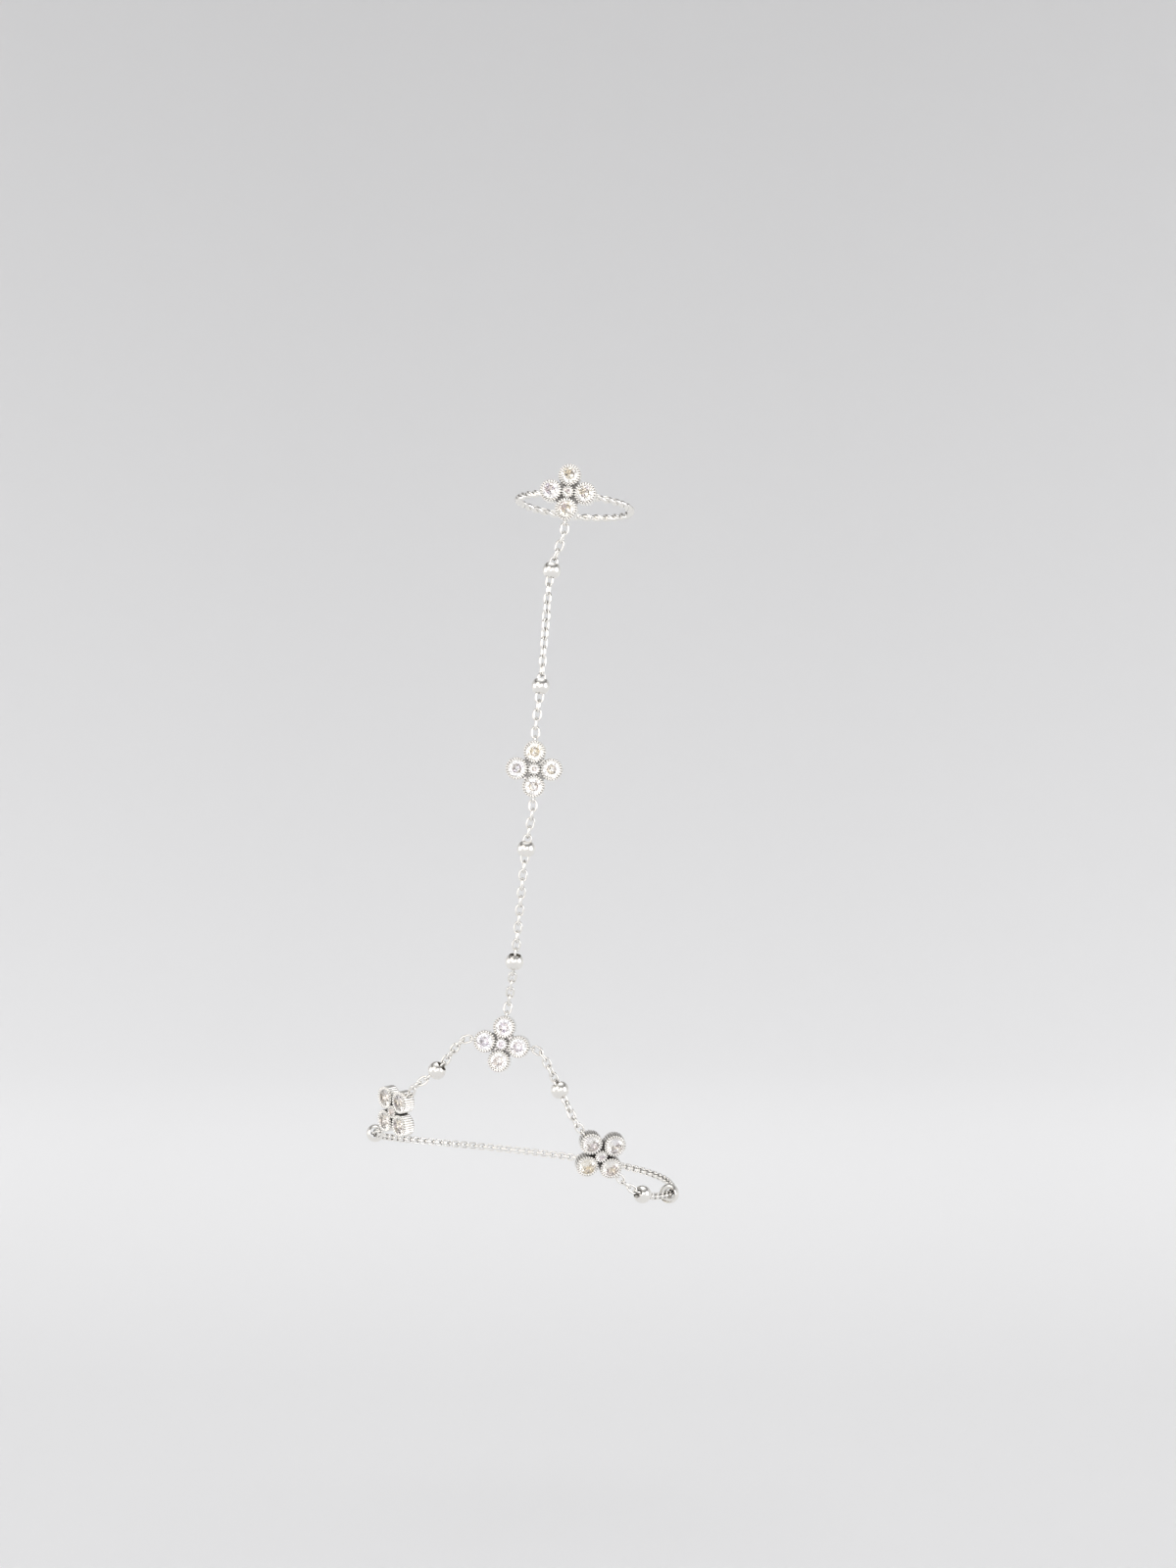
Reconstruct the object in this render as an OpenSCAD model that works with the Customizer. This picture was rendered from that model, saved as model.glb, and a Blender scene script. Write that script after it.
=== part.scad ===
// Hand chain bracelet: a twisted finger ring with a flower setting, a bead and cable chain along
// the back of the hand, and a wrist loop with three flowers, closed by a box chain and a sliding bead.
// The origin is the middle of the wrist. +Z runs along the hand to the fingers, -Y is the back of the hand.

/* [Wrist loop] */
// Width of the wrist loop between the middles of its chain
loop_w = 52.2; // [48:0.2:56]
// Depth of the wrist loop, front to back, between the middles of its chain
loop_d = 38; // [34:0.2:42]

/* [Finger ring] */
// Inner diameter of the finger ring
ring_bore = 18.2; // [15:0.1:20]
// Thickness of the twisted wire of the ring
rope_d = 1.3; // [1:0.05:1.5]
// Half turns of twist round the ring
rope_lobes = 32; // [24:2:36]

/* [Flower settings] */
// Distance from the middle of a flower to the middle of each petal cup
petal_r = 2.93; // [2.88:0.01:3.1]
// Outer diameter of a petal cup, over its flutes
cup_d = 3.9; // [3.74:0.02:4.06]
// Height of a petal cup
cup_h = 2.2; // [2:0.05:2.6]
// Depth of the flutes round a cup
flute_depth = 0.12; // [0.06:0.02:0.16]
// Number of flutes round a petal cup
flutes = 24; // [18:1:28]
// Outer diameter of the small cup in the middle
heart_cup_d = 2.3; // [2.1:0.05:2.4]
// Thickness of the plate that the cups stand on
plate_t = 0.35; // [0.25:0.05:0.5]
// Diameter of the plate that joins the cups
plate_d = 4.8; // [4.4:0.1:6.4]

/* [Stones] */
// Diameter of a petal stone
stone_d = 3.1; // [2.8:0.02:3.14]
// Diameter of the small stone in the middle
heart_d = 1.6; // [1.3:0.02:1.64]
// Height of a petal stone above its girdle
crown_h = 0.5; // [0.35:0.05:0.6]
// Depth of a petal stone below its girdle
pavilion_h = 1.2; // [1:0.05:1.3]
// Width of the ledge that carries a stone's edge
ledge_w = 0.2; // [0.15:0.01:0.3]

/* [Cable chain] */
// Outer length of a cable link
link_len = 2.38; // [2.25:0.01:2.6]
// Outer width of a cable link
link_w = 1.6; // [1.5:0.01:1.64]
// Wire diameter of the cable links and lugs
wire_d = 0.35; // [0.3:0.01:0.38]
// Play between two neighbouring cable links
link_play = 0.13; // [0.12:0.01:0.2]

/* [Box chain] */
// Outer length of a box link
box_len = 1.4; // [1.3:0.01:1.5]
// Outer width of a box link
box_w = 1.25; // [1.15:0.01:1.3]
// Thickness of the strip that a box link is bent from
strip_t = 0.22; // [0.16:0.01:0.24]
// Width of that strip
strip_w = 0.42; // [0.3:0.01:0.46]
// Play between two neighbouring box links
box_play = 0.14; // [0.12:0.01:0.2]

/* [Beads] */
// Diameter of the round beads
bead_d = 3.1; // [2.8:0.05:3.6]
// Diameter of the sliding closure bead
slider_d = 3.5; // [3.2:0.05:4]
// Diameter of the open mouth of the closure bead
mouth_d = 2.9; // [2.2:0.05:3]
// Depth of that mouth
mouth_h = 1.7; // [0.8:0.05:1.8]

/* [Clearances] */
// Clearance round a chain in a bead's bore
bore_gap = 0.15; // [0.13:0.01:0.2]
// Clearance round a stone in its cup
stone_gap = 0.07; // [0.05:0.01:0.1]
// Clearance between the first link and the cup it hangs from
cup_gap = 0.12; // [0.1:0.01:0.2]

/* [Hidden] */

silver = "#d4d6d8";
crystal = "#eef4fa";

// Heights in a flower, from the middle of its chain: its base, the girdles and the ledges of its stones
chain_h = link_w / 2;
girdle_drop = 0.35;
girdle_z = cup_h - chain_h - girdle_drop;
girdle_h = 0.08;
ledge_z = girdle_z - ledge_w * 2 * pavilion_h / stone_d - stone_gap;
heart_scale = heart_d / stone_d;
heart_ledge = ledge_w * heart_scale;
heart_ledge_z = girdle_z - heart_ledge * 2 * pavilion_h / stone_d - stone_gap;

// Lugs: small soldered rings at the cups, standing on edge, that the first links pass through
lug_r = 0.58;
lug_play = 0.14;
cup_edge = petal_r + cup_d / 2;
lug_x = cup_edge + cup_gap + wire_d * 3 / 2 + lug_play - lug_r;
hook_x = lug_x + lug_r;
// Distance from the wire of a lug to the middle of the first link
first_link = link_len / 2 - wire_d * 3 / 2 - lug_play;

// The longest steps along the two chains at which neighbouring links stay clear
link_step = link_len - 2 * wire_d - link_play;
box_step = box_len - 2 * strip_t - box_play;
// What the steps give up where a chain turns sharply at a flower
bend_slack = 0.07;

// The way of the wrist loop: an angle round the wrist from the back of the hand, and a height
wrist_flower_at = [-7.4, 17.3];
left_bead_at = [-34, 12.5];
left_flower_at = [-56.2, 5.2];
left_end_at = [-85, 0.6];
right_bead_at = [14.4, 9.4];
right_flower_at = [30.8, -1.7];
right_end_at = [52.5, -9.2];
closure_at = [78, -9.8];
// The way of the hand chain: points chosen along the back of the hand, x, y and z, with its beads
hand_route_upper = [[5.1, -23.6, 98], [4.1, -24.6, 88.5], [3.3, -25, 78.3]];
hand_route_lower = [[0.8, -24.9, 50.7], [-0.2, -24, 41], [-1.2, -22.6, 31.5]];
ring_at = [9, -12.6, 109.65];
hand_flower_at = [2.2, -25.4, 64.2];
// Turns of the flowers as they are seen, their tilts up or down, their yaw against the curve of the wrist,
// and how far their first links lean aside
ring_roll = -6;
ring_tilt = 7.3;
ring_yaw = -6.3;
hand_flower_turn = -2;
wrist_flower_turn = -9;
left_flower_turn = 36;
right_flower_turn = -51;
first_lean = 24;
small_lean = 15;
tail_lean = -6;
hand_flower_tilt = 1;
wrist_flower_tilt = 0;
left_flower_tilt = -6;
right_flower_tilt = -18.5;
left_flower_yaw = -4;
right_flower_yaw = -12;

// Vectors and places
function unit(v) = v / norm(v);
function mix(a, b, t) = a + (b - a) * t;
function flat_to(v, d) = unit(v - (v * d) * d);
function wrist_point(at) = [loop_w / 2 * sin(at[0]), -loop_d / 2 * cos(at[0]), at[1]];
function wrist_out(p) = unit([p.x / pow(loop_w, 2), p.y / pow(loop_d, 2), 0]);
hand_out = [0, -1, 0];
// A frame is a point, the way along, and the way out of the skin
function flower_frame(p, level, turn, tilt) =
    let (out = unit(level + [0, 0, tan(tilt)]), side = unit(cross([0, 0, 1], out)), up = cross(out, side))
    [p, side * cos(turn) + up * sin(turn), out];
function turned(f, a) = let (y = cross(f[2], f[1])) [f[0], f[1] * cos(a) + y * sin(a), f[2]];
function hook_of(f, a) = f[0] + turned(f, a)[1] * hook_x;
// The first link leans to one side of its lug where the chain turns away
function guides_of(f, a, lean) =
    [for (k = [0, link_step / 2]) hook_of(f, a) + turned(f, a + lean)[1] * (first_link + k)];
function lead_in(f, a, lean = 0) = let (g = guides_of(f, a, lean)) [g[1], g[0], hook_of(f, a)];
function lead_out(f, a, lean = 0) = [hook_of(f, a), each guides_of(f, a, lean)];
module place(f) {
    x = f[1];
    z = flat_to(f[2], x);
    y = cross(z, x);
    multmatrix([[x.x, y.x, z.x, f[0].x], [x.y, y.y, z.y, f[0].y], [x.z, y.z, z.z, f[0].z]]) children();
}

// A smooth curve through a list of points, and a table from the length along it to its parameter
function at_curve(p, t) =
    let (n = len(p), i = max(0, min(floor(t), n - 2)), u = t - i, b = p[i], c = p[i + 1],
        a = i > 0 ? p[i - 1] : 2 * b - c, d = i < n - 2 ? p[i + 2] : 2 * c - b,
        t1 = sqrt(norm(b - a)), t2 = t1 + sqrt(norm(c - b)), t3 = t2 + sqrt(norm(d - c)),
        s = t1 + u * (t2 - t1),
        ab = mix(a, b, s / t1), bc = mix(b, c, (s - t1) / (t2 - t1)), cd = mix(c, d, (s - t2) / (t3 - t2)))
    mix(mix(ab, bc, s / t2), mix(bc, cd, (s - t1) / (t3 - t1)), (s - t1) / (t2 - t1));
samples = 24;
function lengths(p) = let (n = (len(p) - 1) * samples)
    [for (i = 0, s = 0; i <= n;
        s = s + norm(at_curve(p, (i + 1) / samples) - at_curve(p, i / samples)), i = i + 1) [s, i / samples]];
function whole(table) = table[len(table) - 1][0];
function length_to(table, k) = table[k * samples][0];
function at_length(p, table, s) = at_curve(p, lookup(s, table));
function out_of(p, d, on_hand) = flat_to(on_hand ? hand_out : wrist_out(p), d);
// A bead or a short link lies along the chord of the stretch that it covers, midway between chord and curve
function along(p, table, s, reach, on_hand) =
    let (a = at_length(p, table, s - reach), b = at_length(p, table, s + reach), d = unit(b - a),
        c = mix((a + b) / 2, at_length(p, table, s), 0.5))
    [c, d, out_of(c, d, on_hand)];
// A link lies on the chord between its two joints. One that hangs on a lug keeps its far joint in place
function link_frame(p, table, s, step, on_hand, hooked) =
    let (a = at_length(p, table, s - step / 2), b = at_length(p, table, s + step / 2), d = unit(b - a),
        half = abs(step) / 2, c = hooked < 0 ? b - half * d : hooked > 0 ? a + half * d : (a + b) / 2)
    [c, d, out_of(c, d, on_hand)];

// Frames of the flowers
ring_axis = [sin(-ring_roll) * cos(ring_tilt), sin(ring_tilt), cos(ring_roll) * cos(ring_tilt)];
ring_front = flat_to([sin(ring_yaw), -cos(ring_yaw), 0], unit(ring_axis));
ring_flower_r = ring_bore / 2 + rope_d / 2 + chain_h;
ring_flower_at = ring_at + ring_front * ring_flower_r;
ring_flower_frame = [ring_flower_at, cross(unit(ring_axis), ring_front), ring_front];
hand_flower_frame = flower_frame(hand_flower_at, [0, -1, 0], hand_flower_turn, hand_flower_tilt);
function wrist_frame(at, turn, tilt, yaw = 0) =
    let (p = wrist_point(at), out = wrist_out(p), level = [-out.y, out.x, 0])
    flower_frame(p, out * cos(yaw) + level * sin(yaw), turn, tilt);
wrist_flower_frame = wrist_frame(wrist_flower_at, wrist_flower_turn, wrist_flower_tilt);
left_flower_frame = wrist_frame(left_flower_at, left_flower_turn, left_flower_tilt, left_flower_yaw);
right_flower_frame = wrist_frame(right_flower_at, right_flower_turn, right_flower_tilt, right_flower_yaw);

// Routes of the chains, from hook to hook
upper_route = [each lead_out(ring_flower_frame, -90), each hand_route_upper,
    each lead_in(hand_flower_frame, 90)];
lower_route = [each lead_out(hand_flower_frame, -90), each hand_route_lower,
    each lead_in(wrist_flower_frame, 90)];
left_route = [each lead_out(wrist_flower_frame, 180, first_lean), wrist_point(left_bead_at),
    each lead_in(left_flower_frame, 0, small_lean)];
right_route = [each lead_out(wrist_flower_frame, 0, -first_lean), wrist_point(right_bead_at),
    each lead_in(right_flower_frame, 180)];
// The tail runs from the right flower through its end bead and the closure bead round the back of the
// wrist and through the left end bead to the left flower
back_points = 14;
back_turn = 360 + left_end_at[0] - closure_at[0];
tail_route = [each lead_out(right_flower_frame, 0), wrist_point(right_end_at), wrist_point(closure_at),
    for (i = [1:back_points]) let (t = i / (back_points + 1))
        wrist_point([closure_at[0] + back_turn * t, mix(closure_at[1], left_end_at[1], t)]),
    wrist_point(left_end_at), each lead_in(left_flower_frame, 180, tail_lean)];
upper_table = lengths(upper_route);
lower_table = lengths(lower_route);
left_table = lengths(left_route);
right_table = lengths(right_route);
tail_table = lengths(tail_route);

// Places of the beads, counted in points of their routes
bead_in = 3;
bead_out = 5;
// Cable links lie face up and on edge by turns, each a little off
function wobble(i) = 9 * sin(i * 137);
// The tail: cable links into each end bead, box links between them
right_end_s = length_to(tail_table, bead_in);
closure_s = length_to(tail_table, bead_in + 1);
left_end_s = length_to(tail_table, len(tail_route) - 1 - bead_in);
// How far the last cable link stops short of the middle of its end bead
end_sink = 0.4;
right_reach = right_end_s - end_sink - first_link;
left_reach = whole(tail_table) - first_link - left_end_s - end_sink;
tail_step = link_step - bend_slack;
right_steps = max(1, round(right_reach / tail_step));
left_steps = max(1, round(left_reach / tail_step));
right_run = min(right_reach, right_steps * tail_step);
left_run = min(left_reach, left_steps * tail_step);
// From the middle of the last cable link to the middle of the first box link
meet = link_len / 2 - wire_d - box_play - strip_t + box_len / 2 - bend_slack / 2;
box_from = first_link + right_run + meet;
box_to = whole(tail_table) - first_link - left_run - meet;
box_run = box_to - box_from;
least_box_steps = ceil(box_run / box_step);
odd_one = (least_box_steps + right_steps + left_steps) % 2;
box_steps = least_box_steps + odd_one;

module cable_link() {
    straight = link_len - link_w;
    side = (link_w - wire_d) / 2;
    for (s = [-1, 1]) {
        translate([s * straight / 2, 0, 0]) rotate(-90 * s)
            rotate_extrude(angle = 180, $fn = 48) translate([side, 0]) circle(d = wire_d, $fn = 48);
        translate([-straight / 2, s * side, 0]) rotate([0, 90, 0])
            cylinder(d = wire_d, h = straight, $fn = 48);
    }
}
module box_link() {
    difference() {
        cube([box_len, box_w, strip_w], center = true);
        cube([box_len - 2 * strip_t, box_w - 2 * strip_t, 2 * strip_w], center = true);
    }
}
// Links along a route from one length to another, hooked to a lug at the start, and at the end too where
// both_ends says so. Each lies across the one before, and the whole run turns through twist more
module cable_run(route, table, from, to, steps, on_hand, both_ends, twist) {
    step = (to - from) / steps;
    color(silver) for (i = [0:steps]) {
        hooked = i == 0 ? -1 : i == steps && both_ends ? 1 : 0;
        place(link_frame(route, table, from + i * step, step, on_hand, hooked))
            rotate([90 * i + twist * i / steps + (i > 0 && i < steps ? wobble(i) : 0), 0, 0]) cable_link();
    }
}
// A run whose first and last links both lie face up at the flowers
module chain_between(route, table, on_hand, slack = 0) {
    to = whole(table) - first_link;
    steps = ceil((to - first_link) / (link_step - slack));
    cable_run(route, table, first_link, to, steps, on_hand, true, steps % 2 * 90);
}

module bead(d, bore) {
    color(silver) difference() {
        sphere(d = d, $fn = 64);
        rotate([0, 90, 0]) cylinder(d = bore, h = 2 * d, center = true, $fn = 48);
    }
}
// A bore clears its chain by bore_gap, and by the sag of the chain's curve within the bead where the oval
// bends most
function sag(d) = pow(d / 2, 2) * loop_w / pow(loop_d, 2);
cable_bore = norm([link_w, wire_d]) + 2 * bore_gap;
box_bore = norm([box_w, strip_w]) + 2 * bore_gap + sag(slider_d);
module chain_bead(route, table, k, on_hand) {
    place(along(route, table, length_to(table, k), bead_d / 2, on_hand)) bead(bead_d, cable_bore);
}
module slider() {
    place(along(tail_route, tail_table, closure_s, slider_d / 2, false)) difference() {
        bead(slider_d, box_bore);
        color(silver) translate([-slider_d / 2 - 1, 0, 0]) rotate([0, 90, 0])
            cylinder(d = mouth_d, h = mouth_h + 1, $fn = 48);
    }
}

// A cup's outline: shallow round flutes, four points to a flute
module fluted_cup(d, h, n) {
    linear_extrude(h) polygon([for (i = [0:4 * n - 1]) let (a = i * 90 / n, wave = (1 - cos(4 * i * 90)) / 2)
        (d / 2 - flute_depth * (i % 4 == 0 ? 1 : i % 2 == 1 ? 0.25 : 0)) * [cos(a), sin(a)]]);
}
module seat(d, ledge, z) {
    translate([0, 0, plate_t - chain_h]) cylinder(d = d - 2 * ledge, h = cup_h, $fn = 48);
    translate([0, 0, z]) cylinder(d = d + 2 * stone_gap, h = cup_h, $fn = 48);
}
module lug() {
    translate([lug_x, 0, 0]) rotate([90, 0, 0])
        rotate_extrude($fn = 48) translate([lug_r, 0]) circle(d = wire_d, $fn = 48);
}
module setting(lugs) {
    color(silver) difference() {
        union() {
            translate([0, 0, -chain_h]) {
                for (a = [0:90:270]) rotate(a) translate([petal_r, 0, 0]) fluted_cup(cup_d, cup_h, flutes);
                fluted_cup(heart_cup_d, cup_h, round(flutes * heart_cup_d / cup_d));
                cylinder(d = plate_d, h = plate_t, $fn = 48);
            }
            for (a = lugs) rotate(a) lug();
        }
        for (a = [0:90:270]) rotate(a) translate([petal_r, 0, 0]) seat(stone_d, ledge_w, ledge_z);
        seat(heart_d, heart_ledge, heart_ledge_z);
    }
}

// A round brilliant: table, eight stars, eight kites, sixteen upper facets, girdle, sixteen lower facets
// and eight mains
module brilliant(d, crown, depth, edge) {
    r = d / 2;
    table_r = 0.56 * r;
    mid_r = 0.8 * r;
    low_r = 0.24 * r;
    mid_z = crown * (r - mid_r * cos(22.5)) / (r - table_r);
    low_z = -edge - (depth - edge) * (1 - low_r * cos(22.5) / r);
    points = [
        for (k = [0:7]) [table_r * cos(45 * k), table_r * sin(45 * k), crown],
        for (k = [0:7]) [mid_r * cos(45 * k + 22.5), mid_r * sin(45 * k + 22.5), mid_z],
        for (k = [0:15]) [r * cos(22.5 * k), r * sin(22.5 * k), 0],
        for (k = [0:15]) [r * cos(22.5 * k), r * sin(22.5 * k), -edge],
        for (k = [0:7]) [low_r * cos(45 * k + 22.5), low_r * sin(45 * k + 22.5), low_z],
        [0, 0, -depth]];
    function nx(k) = (k + 1) % 8;
    function gx(k) = 16 + (k + 16) % 16;
    function bx(k) = 32 + (k + 16) % 16;
    faces = [
        [7, 6, 5, 4, 3, 2, 1, 0],
        for (k = [0:7]) [k, nx(k), 8 + k],
        for (k = [0:7]) [nx(k), gx(2 * k + 2), 8 + k],
        for (k = [0:7]) [k, 8 + k, gx(2 * k)],
        for (k = [0:7]) [8 + k, gx(2 * k + 1), gx(2 * k)],
        for (k = [0:7]) [8 + k, gx(2 * k + 2), gx(2 * k + 1)],
        for (k = [0:15]) [gx(k), gx(k + 1), bx(k + 1), bx(k)],
        for (k = [0:7]) [48 + k, bx(2 * k), bx(2 * k + 1)],
        for (k = [0:7]) [48 + k, bx(2 * k + 1), bx(2 * k + 2)],
        for (k = [0:7]) [48 + k, 56, bx(2 * k)],
        for (k = [0:7]) [48 + k, bx(2 * k + 2), 56]];
    color(crystal) translate([0, 0, edge / 2]) polyhedron(points, faces);
}
module stone(f, k) {
    place(f) if (k < 5) rotate(90 * (k - 1)) translate([petal_r, 0, girdle_z])
        brilliant(stone_d, crown_h, pavilion_h, girdle_h);
    else translate([0, 0, girdle_z]) brilliant(heart_d, crown_h * heart_scale, pavilion_h * heart_scale,
        girdle_h * heart_scale);
}

// The ring's band: two strands twisted together, swept once round the finger
module rope_ring() {
    rings = 4 * rope_lobes;
    sides = 10;
    core = rope_d / 2;
    waist = 0.55;
    points = [for (i = [0:rings - 1], j = [0:sides - 1])
        let (a = 360 * i / rings, b = 360 * j / sides, twist = -180 * rope_lobes * i / rings,
            r = core * (1 - (1 - waist) * pow(sin(b - twist), 2)), c = ring_bore / 2 + core + r * cos(b))
        [c * cos(a), c * sin(a), r * sin(b)]];
    function at(i, j) = (i % rings) * sides + j % sides;
    color(silver) polyhedron(points, [for (i = [0:rings - 1], j = [0:sides - 1])
        each [[at(i, j), at(i, j + 1), at(i + 1, j + 1)], [at(i, j), at(i + 1, j + 1), at(i + 1, j)]]]);
}
module ring() {
    place([ring_at, ring_front, unit(ring_axis)]) rope_ring();
    place(ring_flower_frame) setting([-90]);
}
module hand_flower() { place(hand_flower_frame) setting([90, -90]); }
module wrist_flower() { place(wrist_flower_frame) setting([0, 90, 180]); }
module left_flower() { place(left_flower_frame) setting([0, 180]); }
module right_flower() { place(right_flower_frame) setting([0, 180]); }
module hand_chain_upper() { chain_between(upper_route, upper_table, true); }
module hand_chain_lower() { chain_between(lower_route, lower_table, true); }
module wrist_chain_left() { chain_between(left_route, left_table, false, bend_slack); }
module wrist_chain_right() { chain_between(right_route, right_table, false, bend_slack); }
module end_chain_right() {
    cable_run(tail_route, tail_table, first_link, first_link + right_run, right_steps, false, false, 0);
}
module end_chain_left() {
    from = whole(tail_table) - first_link;
    cable_run(tail_route, tail_table, from, from - left_run, left_steps, false, false, 0);
}
module box_chain() {
    color(silver) for (i = [0:box_steps])
        place(along(tail_route, tail_table, box_from + box_run * i / box_steps, box_step / 2, false))
            rotate([90 * (right_steps + 1 + i), 0, 0]) box_link();
}

ring();
hand_flower();
wrist_flower();
left_flower();
right_flower();
for (k = [1:5]) {
    stone(ring_flower_frame, k);
    stone(hand_flower_frame, k);
    stone(wrist_flower_frame, k);
    stone(left_flower_frame, k);
    stone(right_flower_frame, k);
}
chain_bead(upper_route, upper_table, bead_in, true);  // hand_bead_1
chain_bead(upper_route, upper_table, bead_out, true);  // hand_bead_2
chain_bead(lower_route, lower_table, bead_in, true);  // hand_bead_3
chain_bead(lower_route, lower_table, bead_out, true);  // hand_bead_4
chain_bead(left_route, left_table, bead_in, false);  // left_bead
chain_bead(right_route, right_table, bead_in, false);  // right_bead
chain_bead(tail_route, tail_table, len(tail_route) - 1 - bead_in, false);  // left_end_bead
chain_bead(tail_route, tail_table, bead_in, false);  // right_end_bead
slider();  // closure_bead
hand_chain_upper();
hand_chain_lower();
wrist_chain_left();
wrist_chain_right();
end_chain_left();
end_chain_right();
box_chain();
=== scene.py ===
import math

import bmesh
import bpy
import numpy as np
from mathutils import Matrix, Vector


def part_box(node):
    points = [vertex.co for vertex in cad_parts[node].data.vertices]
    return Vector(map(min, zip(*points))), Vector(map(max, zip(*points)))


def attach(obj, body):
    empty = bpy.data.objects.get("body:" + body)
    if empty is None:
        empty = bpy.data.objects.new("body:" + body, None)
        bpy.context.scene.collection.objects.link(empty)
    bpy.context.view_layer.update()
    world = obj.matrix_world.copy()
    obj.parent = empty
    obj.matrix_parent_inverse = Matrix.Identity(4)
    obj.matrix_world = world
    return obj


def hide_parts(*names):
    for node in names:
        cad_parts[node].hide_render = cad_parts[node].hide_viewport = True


mm = 0.001            # sizes are in millimetres, and times mm in metres
weldSteps = 1e7       # per metre: corners that round to the same step are one corner
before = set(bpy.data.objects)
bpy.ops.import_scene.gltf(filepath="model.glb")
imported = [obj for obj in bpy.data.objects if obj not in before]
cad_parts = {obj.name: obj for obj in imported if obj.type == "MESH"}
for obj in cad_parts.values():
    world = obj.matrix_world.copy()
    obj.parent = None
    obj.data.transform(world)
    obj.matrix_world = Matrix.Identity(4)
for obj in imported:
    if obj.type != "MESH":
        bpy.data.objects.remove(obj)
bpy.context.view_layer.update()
scene = bpy.context.scene
print("frame loaded:", len(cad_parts), "nodes")


# Reading places from the frame

def nodeArrays(name):
    # corners and triangles of one node, its split corners welded
    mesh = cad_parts[name].data
    mesh.calc_loop_triangles()
    corners = np.empty(len(mesh.vertices) * 3)
    mesh.vertices.foreach_get("co", corners)
    triangles = np.empty(len(mesh.loop_triangles) * 3, np.int64)
    mesh.loop_triangles.foreach_get("vertices", triangles)
    corners = corners.reshape(-1, 3)
    _, kept, same = np.unique(np.round(corners * weldSteps), axis=0, return_index=True, return_inverse=True)
    return corners[kept], same.ravel()[triangles].reshape(-1, 3)


def looseSolids(name):
    # triangles of each connected solid, such as one link of a chain
    points, triangles = nodeArrays(name)
    label = np.arange(len(points))
    while True:
        lowest = label.copy()
        np.minimum.at(lowest, triangles.ravel(), np.repeat(label[triangles].min(1), 3))
        lowest = lowest[lowest]
        if (lowest == label).all():
            break
        label = lowest
    owner = label[triangles[:, 0]]
    return [points[triangles[owner == k]] for k in np.unique(owner)]


def solidFrame(t):
    # middle and axes of a symmetric solid, its longest axis first, from the second moments of its triangles
    area = np.linalg.norm(np.cross(t[:, 1] - t[:, 0], t[:, 2] - t[:, 0]), axis=1) / 2
    middle = t.sum(1)
    total = area.sum()
    mean = (area[:, None] * middle).sum(0) / 3 / total
    second = np.einsum("n,nki,nkj->ij", area / 12, t, t)
    second += np.einsum("n,ni,nj->ij", area / 12, middle, middle)
    values, vectors = np.linalg.eigh(second / total - np.outer(mean, mean))
    axes = [vectors[:, 2], vectors[:, 1], np.cross(vectors[:, 2], vectors[:, 1])]
    corners = t.reshape(-1, 3)
    centre = sum(a * ((corners @ a).max() + (corners @ a).min()) / 2 for a in axes)
    return placeMatrix(centre, *axes)


def placeMatrix(centre, x, y, z):
    # a frame from its middle and its three axes
    m = Matrix((Vector(x), Vector(y), Vector(z))).transposed().to_4x4()
    m.translation = Vector(centre)
    return m


def chainFrames(name):
    return [solidFrame(group) for group in looseSolids(name)]


def nodeMiddle(name):
    low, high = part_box(name)
    return (low + high) / 2


# Building meshes

def turns(count):
    # cosine and sine at each of the even steps round a circle
    return [(math.cos(2 * math.pi * k / count), math.sin(2 * math.pi * k / count)) for k in range(count)]


def gridFaces(rows, columns, closeRows=False):
    # quads between rows of points, each row a closed loop
    last = rows if closeRows else rows - 1
    return [(r * columns + c, r * columns + (c + 1) % columns,
             (r + 1) % rows * columns + (c + 1) % columns, (r + 1) % rows * columns + c)
            for r in range(last) for c in range(columns)]


class Shape:
    # points and faces gathered from several parts before they become one mesh
    def __init__(self):
        self.points, self.faces, self.backed = [], [], []

    def add(self, points, faces, place, backedFrom=None):
        # faces from number backedFrom on are the backing of a stone
        base = len(self.points)
        self.points += [place @ p for p in points]
        self.faces += [tuple(base + k for k in face) for face in faces]
        self.backed += [backedFrom is not None and k >= backedFrom for k in range(len(faces))]


def makePiece(name, shape, material, node, crease):
    # a piece that stands for one node, smooth but for edges of more than crease degrees
    mesh = bpy.data.meshes.new(name)
    mesh.from_pydata([p[:] for p in shape.points], [], shape.faces)
    mesh.materials.append(material)
    if any(shape.backed):
        mesh.materials.append(foil)
        mesh.polygons.foreach_set("material_index", [int(b) for b in shape.backed])
    bm = bmesh.new()
    bm.from_mesh(mesh)
    bmesh.ops.recalc_face_normals(bm, faces=bm.faces)
    for face in bm.faces:
        face.smooth = True
    for edge in bm.edges:
        edge.smooth = edge.calc_face_angle(0) < math.radians(crease)
    bm.to_mesh(mesh)
    bm.free()
    piece = bpy.data.objects.new(name, mesh)
    scene.collection.objects.link(piece)
    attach(piece, "root")
    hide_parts(node)


def sweptLoop(path, outward, radius, sides):
    # a round wire along a closed path; outward gives the side direction at each point
    points = []
    count = len(path)
    for k in range(count):
        along = (path[(k + 1) % count] - path[k - 1]).normalized()
        side = outward[k].normalized()
        up = along.cross(side).normalized()
        points += [path[k] + side * c * radius + up * s * radius for c, s in turns(sides)]
    return points, gridFaces(count, sides, closeRows=True)


# Materials

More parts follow.
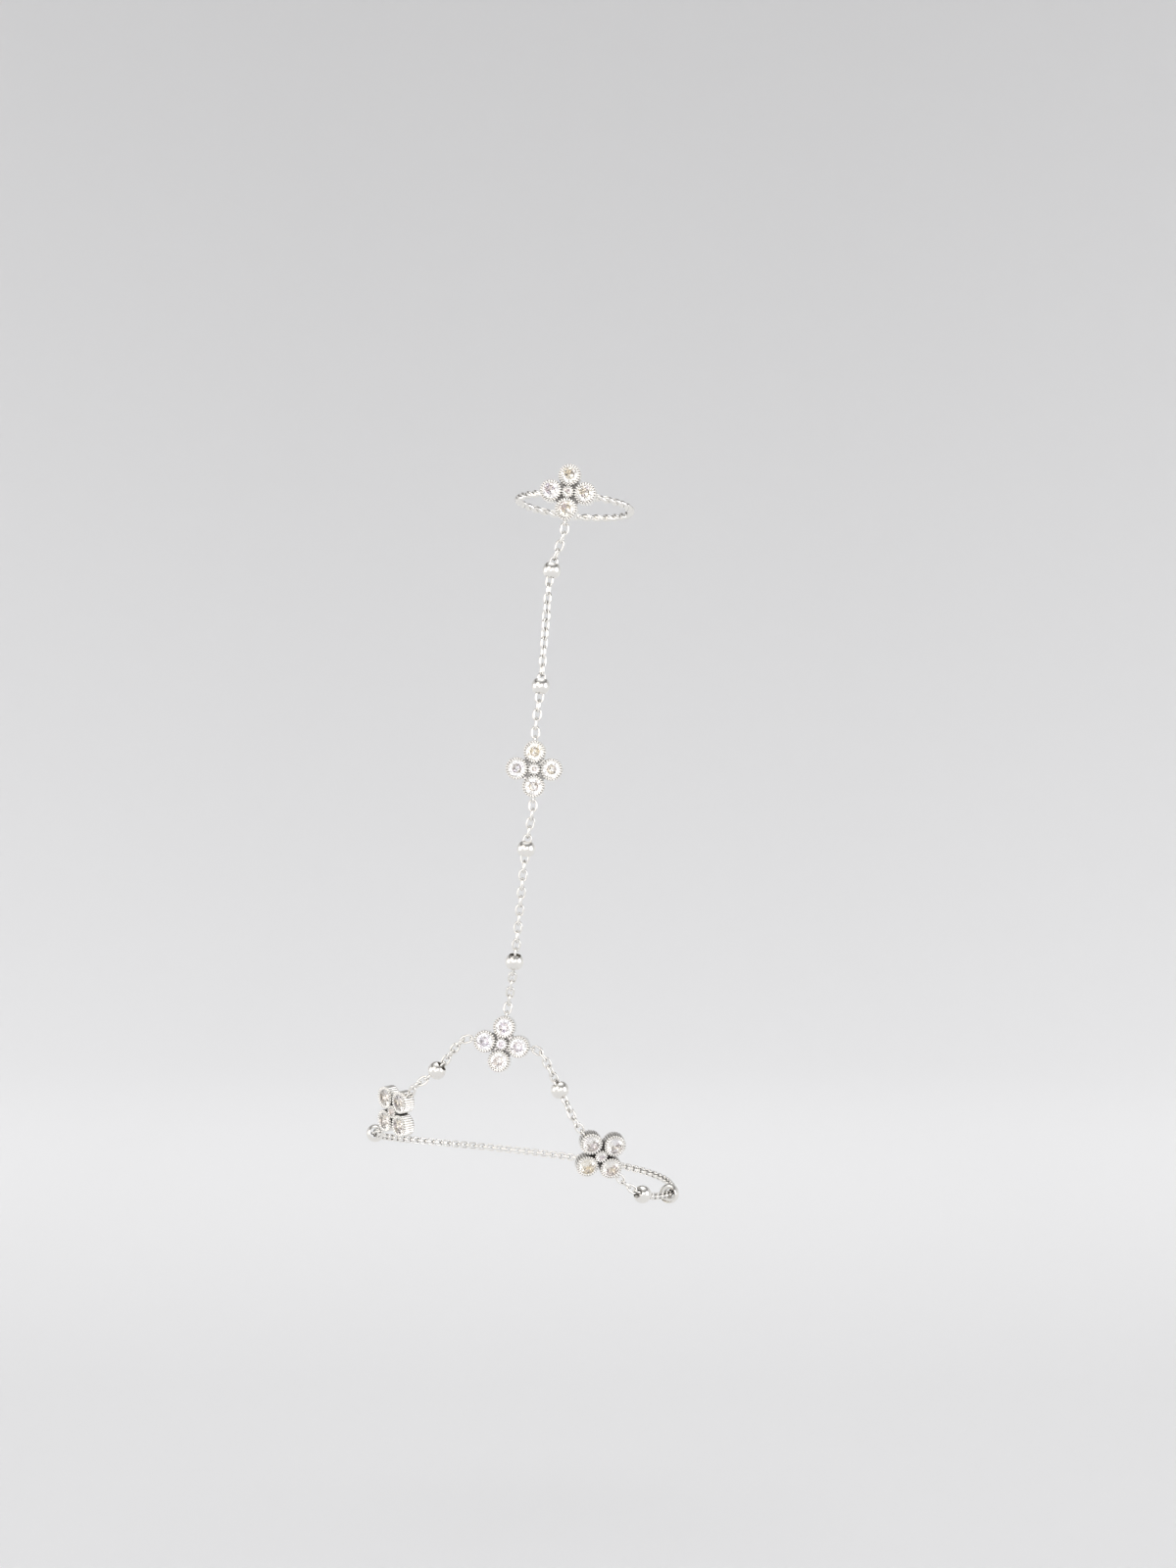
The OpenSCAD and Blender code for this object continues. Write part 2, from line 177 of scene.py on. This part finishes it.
def newMaterial(name, sockets):
    # a material of one shader with its sockets filled, and what makes and links the nodes before it
    material = bpy.data.materials.new(name)
    material.use_nodes = True
    tree = material.node_tree
    tree.nodes.clear()

    def make(kind, sockets={}):
        node = tree.nodes.new(kind)
        for key, value in sockets.items():
            node.inputs[key].default_value = value
        return node

    out = make("ShaderNodeOutputMaterial")
    shader = make("ShaderNodeBsdfPrincipled", sockets)
    tree.links.new(shader.outputs["BSDF"], out.inputs["Surface"])
    return material, shader, make, tree.links.new


def fillRamp(ramp, stops):
    # stops are pairs of a place from 0 to 1 and a colour, in order
    first, *between, last = stops
    elements = ramp.color_ramp.elements
    for element, (place, colour) in zip(elements, (first, last)):
        element.position = place
        element.color = (*colour, 1)
    for place, colour in between:
        elements.new(place).color = (*colour, 1)


silverLook = {
    "colour": (0.94, 0.92, 0.88),
    "paintedShade": (0.30, 0.29, 0.28),     # painted shade in hollows
    "openness": (0.15, 0.62),        # where a spot is less open all is painted shade, and where more all bright
    "hollowReach": 1.0,              # mm looked round for what closes a spot in
    "hollowSamples": 8,
    "roughness": (0.05, 0.15),
    "grainScale": 1400.0,            # the noise that varies the roughness
    "grainDetail": 6.0,
    "scratchScale": 5200.0,
    "scratchDetail": 3.0,
    "scratchDepth": 0.02,            # mm
    "bump": 0.04,
}


def silverMaterial(name, look):
    material, shader, make, link = newMaterial(name, {"Metallic": 1.0})
    place = make("ShaderNodeTexCoord")
    grain = make("ShaderNodeTexNoise", {"Scale": look["grainScale"], "Detail": look["grainDetail"]})
    scratch = make("ShaderNodeTexNoise", {"Scale": look["scratchScale"], "Detail": look["scratchDetail"]})
    # the AO node darkens the base colour where walls are close by: painted shade in hollows and gaps
    hollow = make("ShaderNodeAmbientOcclusion", {"Distance": look["hollowReach"] * mm})
    hollow.samples = look["hollowSamples"]
    hollowShadeRamp = make("ShaderNodeValToRGB")
    fillRamp(hollowShadeRamp, zip(look["openness"], (look["paintedShade"], look["colour"])))
    rough = make("ShaderNodeMapRange", {"To Min": look["roughness"][0], "To Max": look["roughness"][1]})
    bump = make("ShaderNodeBump", {"Strength": look["bump"], "Distance": look["scratchDepth"] * mm})
    link(place.outputs["Object"], grain.inputs["Vector"])
    link(place.outputs["Object"], scratch.inputs["Vector"])
    link(hollow.outputs["AO"], hollowShadeRamp.inputs["Fac"])
    link(hollowShadeRamp.outputs["Color"], shader.inputs["Base Color"])
    link(grain.outputs["Fac"], rough.inputs["Value"])
    link(rough.outputs["Result"], shader.inputs["Roughness"])
    link(scratch.outputs["Fac"], bump.inputs["Height"])
    link(bump.outputs["Normal"], shader.inputs["Normal"])
    return material


patchDetail = 1.0                          # of the noise behind tints, grey spots and uneven facets
tintPlaces = (0.38, 0.52, 0.64, 0.74)      # of cream, white, lilac and rose in that noise


def tintRamp(make, link, place, look):
    # tints that change from one stone to the next, and a little within each
    patch = make("ShaderNodeTexNoise", {"Scale": look["patch"], "Detail": patchDetail})
    ramp = make("ShaderNodeValToRGB")
    fillRamp(ramp, zip(tintPlaces, look["tints"]))
    link(place.outputs["Object"], patch.inputs["Vector"])
    link(patch.outputs["Fac"], ramp.inputs["Fac"])
    return ramp


foilLook = {
    "tints": ((1.0, 0.955, 0.875), (1.0, 0.99, 0.97), (0.90, 0.87, 0.98), (1.0, 0.89, 0.88)),
    "patch": 420.0,
    "grey": (0.30, 0.27, 0.26),
    "greyPatch": 1100.0,
    "greyFrom": (0.56, 0.62),     # of the noise, so that about a quarter turns grey
    "roughness": 0.12,
}


def foilMaterial(name, look):
    # bright backing under the stones, with greyer spots
    material, shader, make, link = newMaterial(name, {"Metallic": 1.0, "Roughness": look["roughness"]})
    place = make("ShaderNodeTexCoord")
    tint = tintRamp(make, link, place, look)
    spots = make("ShaderNodeTexNoise", {"Scale": look["greyPatch"], "Detail": patchDetail})
    share = make("ShaderNodeMapRange", {"From Min": look["greyFrom"][0], "From Max": look["greyFrom"][1]})
    blend = make("ShaderNodeMix")
    blend.data_type = "RGBA"
    blend.inputs["B"].default_value = (*look["grey"], 1)
    link(place.outputs["Object"], spots.inputs["Vector"])
    link(spots.outputs["Fac"], share.inputs["Value"])
    link(share.outputs["Result"], blend.inputs["Factor"])
    link(tint.outputs["Color"], blend.inputs["A"])
    link(blend.outputs["Result"], shader.inputs["Base Color"])
    return material


crystalLook = {
    "tints": ((1.0, 0.96, 0.86), (1.0, 0.99, 0.97), (0.97, 0.96, 1.0), (1.0, 0.95, 0.95)),
    "patch": 330.0,
    "ior": 1.9,
    "unevenScale": 620.0,     # facets that aren't quite flat break the light up
    "unevenDepth": 0.05,      # mm
}


def crystalMaterial(name, look):
    clear = {"Roughness": 0.0, "IOR": look["ior"], "Transmission Weight": 1.0}
    material, shader, make, link = newMaterial(name, clear)
    place = make("ShaderNodeTexCoord")
    tint = tintRamp(make, link, place, look)
    uneven = make("ShaderNodeTexNoise", {"Scale": look["unevenScale"], "Detail": patchDetail})
    bump = make("ShaderNodeBump", {"Strength": 1.0, "Distance": look["unevenDepth"] * mm})
    link(tint.outputs["Color"], shader.inputs["Base Color"])
    link(place.outputs["Object"], uneven.inputs["Vector"])
    link(uneven.outputs["Fac"], bump.inputs["Height"])
    link(bump.outputs["Normal"], shader.inputs["Normal"])
    return material


silver = silverMaterial("polished silver", silverLook)
beadSilver = silverMaterial("rolled bead silver", {**silverLook, "roughness": (0.18, 0.28)})
foil = foilMaterial("stone backing", foilLook)
crystal = crystalMaterial("clear crystal", crystalLook)
print("materials made")


# Cable chain: oval links of round wire

cableLink = {
    "length": 2.38,      # mm
    "width": 1.6,
    "wire": 0.40,
    "oval": 0.5,         # from 0, straight sides, to 1, a true oval
    "sides": 14,         # of the wire
    "arcSteps": 14,
    "sideSteps": 5,
    "crease": 40,        # degrees
}
cableNodes = ["hand_chain_upper", "hand_chain_lower", "wrist_chain_left", "wrist_chain_right",
              "end_chain_left", "end_chain_right"]


def cableLinkShape(spec):
    half = (spec["width"] - spec["wire"]) / 2
    straight = (spec["length"] - spec["width"]) / 2
    reach = straight + half
    path = []
    for end in (1, -1):
        for k in range(spec["arcSteps"] + 1):
            a = math.radians(-90 + 180 * k / spec["arcSteps"])
            path.append(Vector((end * (straight + half * math.cos(a)), end * half * math.sin(a), 0)))
        for k in range(1, spec["sideSteps"]):
            path.append(Vector((end * (straight - 2 * straight * k / spec["sideSteps"]), end * half, 0)))
    rounded = []
    for p in path:
        a = math.atan2(p.y / half, p.x / reach)
        oval = Vector((reach * math.cos(a), half * math.sin(a), 0))
        rounded.append(p.lerp(oval, spec["oval"]) * mm)
    return sweptLoop(rounded, rounded, spec["wire"] / 2 * mm, spec["sides"])


def addLinks(shape, name, points, faces):
    # one link at each loose solid of a chain's node
    frames = chainFrames(name)
    for place in frames:
        shape.add(points, faces, place)
    print(name, len(frames), "links")


for name in cableNodes:
    shape = Shape()
    addLinks(shape, name, *cableLinkShape(cableLink))
    makePiece("cable_" + name, shape, silver, name, cableLink["crease"])


# Box chain: square links bent from flat strip

boxLink = {
    "length": 1.4,       # mm
    "width": 1.25,
    "strip": 0.42,
    "thick": 0.22,
    "corner": 0.3,
    "edge": 0.05,        # cut off the strip's own edges
    "cornerSteps": 4,
    "crease": 60,        # degrees
}


def boxLinkShape(spec):
    # a closed path round the square, and the strip's section with softened edges
    halfX = (spec["length"] - spec["thick"]) / 2
    halfY = (spec["width"] - spec["thick"]) / 2
    r = spec["corner"]
    path, side = [], []
    for sx, sy, start in ((1, 1, 0), (-1, 1, 90), (-1, -1, 180), (1, -1, 270)):
        for k in range(spec["cornerSteps"] + 1):
            a = math.radians(start + 90 * k / spec["cornerSteps"])
            out = Vector((math.cos(a), math.sin(a), 0))
            path.append(Vector((sx * (halfX - r), sy * (halfY - r), 0)) + out * r)
            side.append(out)
    t, w, e = spec["thick"] / 2, spec["strip"] / 2, spec["edge"]
    section = [(t, -w + e), (t, w - e), (t - e, w), (-t + e, w),
               (-t, w - e), (-t, -w + e), (-t + e, -w), (t - e, -w)]
    points = [(p + o * a + Vector((0, 0, b))) * mm for p, o in zip(path, side) for a, b in section]
    return points, gridFaces(len(path), len(section), closeRows=True)


shape = Shape()
addLinks(shape, "box_chain", *boxLinkShape(boxLink))
makePiece("box_links", shape, silver, "box_chain", boxLink["crease"])


# Beads: turned shells with softened mouths, along the chain that they sit on

beadForm = {
    "diameter": 3.1,       # mm
    "bore": 1.94,
    "soft": 0.1,           # cut off each sharp edge
    "steps": 22,
    "around": 48,
    "crease": 80,          # degrees
}
closureForm = {
    "diameter": 3.5,
    "bore": 1.73,
    "mouth": 2.9,
    "mouthDepth": 0.93,
    "soft": 0.1,
    "steps": 24,
    "around": 56,
    "crease": 80,
}
softening = {
    "steps": 3,            # of each softened corner
    "flat": 150,           # degrees: a corner flatter than this stays
    "share": 2.2,          # a side's length over this is the most that a cut takes of it
}


def softened(outline, soft):
    # cuts each sharp corner of a closed outline with a small curve
    made = []
    count = len(outline)
    steps = softening["steps"]
    for k, p in enumerate(outline):
        a = outline[k - 1] - p
        b = outline[(k + 1) % count] - p
        if a.angle(b) > math.radians(softening["flat"]):
            made.append(p)
            continue
        cut = min(soft, a.length / softening["share"], b.length / softening["share"])
        start, end = p + a.normalized() * cut, p + b.normalized() * cut
        for s in range(steps + 1):
            t = s / steps
            made.append(start * (1 - t) ** 2 + p * 2 * t * (1 - t) + end * t * t)
    return made


def turned(outline, around):
    # an outline of (along, radius) swept round the first axis
    points = [Vector((p.x, p.y * c, p.y * s)) * mm for p in outline for c, s in turns(around)]
    return points, gridFaces(len(outline), around, closeRows=True)


def beadShape(form):
    # the ball from its mouth to the far end of its bore, and in the closure the floor of its mouth
    radius, right = form["diameter"] / 2, form["bore"] / 2
    left = form.get("mouth", form["bore"]) / 2
    startA, endA = math.asin(left / radius), math.asin(right / radius)
    outline = []
    for k in range(form["steps"] + 1):
        a = math.pi - startA - (math.pi - startA - endA) * k / form["steps"]
        outline.append(Vector((radius * math.cos(a), radius * math.sin(a))))
    if "mouthDepth" in form:
        floor = outline[0].x + form["mouthDepth"]
        outline += [Vector((floor, right)), Vector((floor, left))]
    return turned(softened(outline, form["soft"]), form["around"])


def beadAxis(name):
    # a drilled ball is shortest along its bore
    solid = looseSolids(name)[0]
    axes = [solidFrame(solid).col[k].xyz for k in range(3)]
    return min(axes, key=lambda a: np.ptp(solid.reshape(-1, 3) @ np.array(a)))


def steadyFrame(centre, x):
    # a frame along x, with its last axis as upright as it goes
    z = Vector((0, 0, 1)) - x * x.z
    z.normalize()
    return placeMatrix(centre, x, z.cross(x), z)


def addBead(name, form, axis):
    shape = Shape()
    shape.add(*beadShape(form), steadyFrame(nodeMiddle(name), axis))
    makePiece("polished_" + name, shape, beadSilver, name, form["crease"])


for name in ("hand_bead_1", "hand_bead_2", "hand_bead_3", "hand_bead_4",
             "left_bead", "right_bead", "left_end_bead", "right_end_bead"):
    addBead(name, beadForm, beadAxis(name))
print("beads made")

# the closure's mouth is at the low end of its axis, and faces the right end bead
axis = beadAxis("closure_bead")
towards = nodeMiddle("right_end_bead") - nodeMiddle("closure_bead")
if axis.dot(towards) > 0:
    axis = -axis
addBead("closure_bead", closureForm, axis)
print("closure made")


# Flower settings: fluted cups with toothed rims, a base plate, and lugs for the chains

flowers = {
    # the node of each, and the turn of each lug from the first petal, in degrees
    "ring": {"node": "ring", "lugs": [-90]},
    "hand": {"node": "hand_flower", "lugs": [90, -90]},
    "wrist": {"node": "wrist_flower", "lugs": [0, 90, 180]},
    "left": {"node": "left_flower", "lugs": [0, 180]},
    "right": {"node": "right_flower", "lugs": [0, 180]},
}
setting = {
    "petals": 4,
    "petalReach": 2.93,      # mm from the flower's middle to each petal cup
    "petal": {"radius": 1.95, "stone": 1.55, "lip": 1.36, "lipDrop": 0.15, "teeth": 24, "pavilion": 1.2},
    "heart": {"radius": 1.15, "stone": 0.80, "lip": 0.71, "lipDrop": 0.23, "teeth": 14, "pavilion": 0.619},
    "base": -0.8,            # heights are from the middle of the chain
    "rim": 1.4,
    "girdle": 1.05,
    "tableHeight": 1.59,
    "play": 0.05,            # round a stone in its cup
    "tipPlay": 0.04,         # under a stone's tip
    "plate": {"radius": 2.4, "inside": 0.3, "thick": 0.35, "soft": 0.08, "around": 64},
    "flute": 0.16,
    "toothDrop": 0.24,       # how deep the gaps between the teeth go
    "toothWidth": 0.88,      # of the space from one tooth to the next
    "toothSteps": 10,
    "lug": {"reach": 5.085, "radius": 0.58, "wire": 0.35, "around": 28, "sides": 14},
    "crease": 50,            # degrees
}


def nodeCorners(name):
    return [v.co.copy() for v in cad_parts[name].data.vertices]


def skinMiddle(name):
    # centre of a node's skin, weighted by area
    total, middle = 0.0, Vector()
    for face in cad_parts[name].data.polygons:
        total += face.area
        middle += face.center * face.area
    return middle / total


def flowerFrame(kind):
    # x towards the first petal stone and z out through the tables, at the height of the chain
    petals = [skinMiddle(f"{kind}_stone_{k + 1}") for k in range(setting["petals"])]
    x = (petals[0] - petals[2]).normalized()
    z = x.cross(petals[1] - petals[3]).normalized()
    middle = sum(petals, Vector()) / setting["petals"]
    table = max(p.dot(z) for p in nodeCorners(f"{kind}_stone_1"))
    return placeMatrix(middle + z * (table - middle.dot(z) - setting["tableHeight"] * mm), x, z.cross(x), z)


def toothHeight(turn, width):
    # round top of a grain: 1 at its middle and 0 in the gap beside it
    t = abs(turn - round(turn)) * 2 / width
    return math.sqrt(1 - t * t) if t < 1 else 0.0


def mixed(a, b, t):
    # what lies a share t of the way from a to b
    return a + (b - a) * t


def cupShape(cup, form):
    r, s = cup["radius"], cup["stone"]
    rim, girdle, base = form["rim"], form["girdle"], form["base"]
    lip, lipDrop = cup["lip"], cup["lipDrop"]
    under = girdle - form["play"]
    cone = under - (cup["pavilion"] + form["tipPlay"])
    # rows of radius, height, share of the flute and share of the gap's drop
    wall = [
        (r - 0.10, base, 0.6, 0),                  # the foot and the fluted side
        (r - 0.02, base + 0.03, 1, 0),
        (r, base + 0.12, 1, 0),
        (r, girdle - 0.25, 1, 0),
        (r, rim - 0.30, 1, 0.1),                   # up over the grains
        (r - 0.01, rim - 0.19, 1.1, 0.35),
        (r - 0.045, rim - 0.09, 1.25, 0.7),
        (r - 0.11, rim - 0.02, 1.3, 1),
        (r - 0.19, rim, 1.0, 1.05),
        (mixed(r, lip, 0.52), rim - 0.02, 0.6, 0.85),
        (mixed(r, lip, 0.72), rim - 0.06, 0.15, 0.3),
        (lip + 0.02, rim - 0.6 * lipDrop, 0, 0.05),
        (lip, rim - 0.8 * lipDrop, 0, 0),          # the plain lip over the stone's edge
    ]
    seat = [
        (lip + 0.03, rim - lipDrop, 0, 0),
        (s + form["play"], girdle + 0.04, 0, 0),   # round the stone's girdle
        (s + form["play"], girdle - 0.08, 0, 0),
        (s - 0.05, under - 0.09, 0, 0),            # the ledge, and the cone round the stone's back
        (0.25 * s, cone + 0.2, 0, 0),
        (0.02, cone, 0, 0),
    ]
    outline = wall + seat
    around = cup["teeth"] * form["toothSteps"]
    points = []
    for radius, height, fluteShare, dropShare in outline:
        for k, (c, n) in enumerate(turns(around)):
            gap = 1 - toothHeight(k / form["toothSteps"], form["toothWidth"])
            reach = radius - form["flute"] * fluteShare * gap
            points.append(Vector((reach * c, reach * n, height - form["toothDrop"] * dropShare * gap)) * mm)
    # the closed bottom, the rows upward and over the lip, and the seat and its tip, which the foil covers
    faces = [tuple(range(around))] + gridFaces(len(outline), around)
    foilFrom = 1 + (len(wall) - 1) * around
    faces.append(tuple((len(outline) - 1) * around + k for k in reversed(range(around))))
    return points, faces, foilFrom


def turnedUpright(outline, around):
    # an outline of (radius, height) swept round the upright axis
    points = [Vector((p.x * c, p.x * s, p.y)) * mm for p in outline for c, s in turns(around)]
    return points, gridFaces(len(outline), around, closeRows=True)


def plateShape(plate):
    low = setting["base"]
    high = low + plate["thick"]
    inside, outside = plate["inside"], plate["radius"]
    corners = [(inside, low), (outside, low), (outside, high), (inside, high)]
    return turnedUpright(softened([Vector(c) for c in corners], plate["soft"]), plate["around"])


def lugShape(lug):
    path = [Vector((lug["radius"] * c, 0, lug["radius"] * s)) * mm for c, s in turns(lug["around"])]
    return sweptLoop(path, path, lug["wire"] / 2 * mm, lug["sides"])


def outFrom(place, turn, reach):
    # place turned by some degrees about its upright axis and moved outward
    return place @ Matrix.Rotation(math.radians(turn), 4, "Z") @ Matrix.Translation((reach * mm, 0, 0))


def addSetting(shape, place, lugs):
    points, faces, foilFrom = cupShape(setting["petal"], setting)
    for k in range(setting["petals"]):
        shape.add(points, faces, outFrom(place, 360 / setting["petals"] * k, setting["petalReach"]), foilFrom)
    points, faces, foilFrom = cupShape(setting["heart"], setting)
    shape.add(points, faces, place, foilFrom)
    shape.add(*plateShape(setting["plate"]), place)
    for turn in lugs:
        shape.add(*lugShape(setting["lug"]), outFrom(place, turn, setting["lug"]["reach"]))


# The ring's band: two strands laid round each other

ropeBand = {
    "bore": 18.2,              # mm
    "thick": 1.3,
    "strand": 0.37,            # radius of each strand
    "halfTurns": 32,
    "stepsPerHalfTurn": 14,
    "sides": 14,
}
bandReach = ropeBand["bore"] / 2 + ropeBand["thick"] / 2


def addRope(shape, place):
    count = ropeBand["halfTurns"] * ropeBand["stepsPerHalfTurn"]
    offset = ropeBand["thick"] / 2 - ropeBand["strand"]
    for strand in (0, 180):
        path, side = [], []
        for k in range(count):
            a = 2 * math.pi * k / count
            b = math.radians(strand) - a * ropeBand["halfTurns"] / 2
            radial = Vector((math.cos(a), math.sin(a), 0))
            out = radial * math.cos(b) + Vector((0, 0, math.sin(b)))
            path.append((radial * bandReach + out * offset) * mm)
            side.append(out)
        shape.add(*sweptLoop(path, side, ropeBand["strand"] * mm, ropeBand["sides"]), place)


for kind, flower in flowers.items():
    place = flowerFrame(kind)
    shape = Shape()
    addSetting(shape, place, flower["lugs"])
    if kind == "ring":
        x, y, z = (place.col[k].xyz for k in range(3))
        middle = place.translation - z * (bandReach - setting["base"]) * mm
        addRope(shape, placeMatrix(middle, z, x, y))
    makePiece("fluted_" + flower["node"], shape, silver, flower["node"], setting["crease"])
    for k in range(setting["petals"] + 1):
        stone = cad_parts[f"{kind}_stone_{k + 1}"]
        stone.data.materials.clear()
        stone.data.materials.append(crystal)
print("settings, ring band and stones made")


# Camera at the photograph's place, looking level along y

view = {
    "spot": (11.3, -722.0, 61.7),     # mm
    "height": 266.7,                  # seen from top to bottom at the distance below
    "distance": 700.0,
    "sensor": 36.0,
    "clip": (10.0, 20000.0),          # nearest and farthest that it sees
}
cameraData = bpy.data.cameras.new("camera")
cameraData.sensor_width = view["sensor"]
cameraData.lens = view["sensor"] * view["distance"] / view["height"]
cameraData.clip_start, cameraData.clip_end = (c * mm for c in view["clip"])
camera = bpy.data.objects.new("camera", cameraData)
camera.location = Vector(view["spot"]) * mm
camera.rotation_euler = (math.radians(90), 0, 0)
scene.collection.objects.link(camera)
scene.camera = camera


# A plain pale studio: a round floor whose edge bends up into a low wall, the same from every side

studio = {
    "floor": -66.0,                   # mm
    "rings": (60.0, 400.0, 800.0),    # radii of the flat floor's rows
    "bend": 1500.0,
    "bendStep": 3,                    # degrees
    "wall": 2600.0,
    "wallTop": 1900.0,
    "around": 120,
    "colour": (0.76, 0.76, 0.765),
    "roughness": 0.9,
}


def paperSweep():
    floor, wall, bend = studio["floor"], studio["wall"], studio["bend"]
    outline = [(r, floor) for r in studio["rings"]]
    for turn in range(0, 90 + studio["bendStep"], studio["bendStep"]):
        a = math.radians(turn)
        outline.append((wall - bend + bend * math.sin(a), floor + bend - bend * math.cos(a)))
    outline.append((wall, studio["wallTop"]))
    around = studio["around"]
    points = [Vector((r * c, r * s, z)) * mm for r, z in outline for c, s in turns(around)]
    faces = [tuple(range(around))] + gridFaces(len(outline), around)
    mesh = bpy.data.meshes.new("paper")
    mesh.from_pydata([p[:] for p in points], [], faces)
    for face in mesh.polygons:
        face.use_smooth = len(face.vertices) == 4
    matt = {"Base Color": (*studio["colour"], 1), "Roughness": studio["roughness"]}
    mesh.materials.append(newMaterial("studio paper", matt)[0])
    sweep = bpy.data.objects.new("paper", mesh)
    scene.collection.objects.link(sweep)
    return sweep


# The paper has lamps of its own, which light nothing else, and the jewel's lamps leave it out, so it is
# even behind the jewel from every side
paper = paperSweep()
onPaper = bpy.data.collections.new("paper alone")
besidesPaper = bpy.data.collections.new("all but the paper")
for group in (onPaper, besidesPaper):
    group.objects.link(paper)
besidesPaper.collection_objects[0].light_linking.link_state = "EXCLUDE"

jewelMiddle = (5, -10, 50)     # mm, where the jewel's lamps are aimed
jewelLamps = {
    # place and size in mm
    "key": {"spot": (-360, -450, 340), "size": (360, 360), "watts": 0.75, "colour": (1.0, 0.96, 0.90)},
    "front": {"spot": (170, -740, 230), "size": (380, 330), "watts": 0.50, "colour": (1.0, 0.98, 0.95)},
    "low": {"spot": (-190, -760, -30), "size": (240, 260), "watts": 0.34, "colour": (1.0, 0.94, 0.96)},
    "right": {"spot": (620, -260, 150), "size": (400, 430), "watts": 0.95, "colour": (0.93, 0.94, 1.0)},
    "left": {"spot": (-650, -80, 110), "size": (380, 380), "watts": 0.6, "colour": (1.0, 0.98, 0.95)},
    "top": {"spot": (40, 60, 620), "size": (430, 310), "watts": 0.45, "colour": (1.0, 0.99, 0.97)},
}
floorLamp = {"height": 1400, "size": (1800, 1800), "watts": 14.0, "colour": (1.0, 1.0, 1.0)}
wallLamps = {
    "count": 4,              # over the floor, each turned out to the wall
    "reach": 250,            # mm from the middle
    "height": 1300,
    "aimReach": 2300,
    "aimHeight": 1150,
    "size": (1300, 300),
    "watts": 11.0,
    "colour": (1.0, 1.0, 1.0),
}


def addLamp(name, lamp, spot, aim, lit):
    data = bpy.data.lights.new(name, "AREA")
    data.shape = "RECTANGLE"
    data.size, data.size_y = (s * mm for s in lamp["size"])
    data.energy = lamp["watts"]
    data.color = lamp["colour"]
    holder = bpy.data.objects.new(name, data)
    holder.location = Vector(spot) * mm
    holder.rotation_euler = (Vector(aim) * mm - holder.location).to_track_quat("-Z", "Y").to_euler()
    holder.visible_camera = False
    holder.light_linking.receiver_collection = lit
    scene.collection.objects.link(holder)


for name, lamp in jewelLamps.items():
    addLamp(name, lamp, lamp["spot"], jewelMiddle, besidesPaper)
addLamp("paper", floorLamp, (0, 0, floorLamp["height"]), (0, 0, 0), onPaper)
up = Vector((0, 0, 1))
for k in range(wallLamps["count"]):
    a = math.radians(360 / wallLamps["count"] * k)
    way = Vector((math.sin(a), math.cos(a), 0))
    spot = way * wallLamps["reach"] + up * wallLamps["height"]
    aim = way * wallLamps["aimReach"] + up * wallLamps["aimHeight"]
    addLamp(f"paper{k + 1}", wallLamps, spot, aim, onPaper)

# Above the wall the room is dark at first and light overhead; places are sines of the height above level
room = [(0.70, (0.16, 0.155, 0.15)), (0.86, (0.6, 0.6, 0.6)), (1.0, (1.2, 1.2, 1.22))]
world = bpy.data.worlds.new("studio")
scene.world = world
world.use_nodes = True
tree = world.node_tree
direction = tree.nodes.new("ShaderNodeTexCoord")
split = tree.nodes.new("ShaderNodeSeparateXYZ")
light = tree.nodes.new("ShaderNodeValToRGB")
fillRamp(light, room)
tree.links.new(direction.outputs["Generated"], split.inputs["Vector"])
tree.links.new(split.outputs["Z"], light.inputs["Fac"])
tree.links.new(light.outputs["Color"], tree.nodes["Background"].inputs["Color"])
scene.view_settings.view_transform = "Standard"

# light goes round in the stones many times before it leaves them
bounces = {"all": 24, "glossy": 20, "transmission": 24}
scene.cycles.max_bounces = bounces["all"]
scene.cycles.glossy_bounces = bounces["glossy"]
scene.cycles.transmission_bounces = bounces["transmission"]
print("studio set")
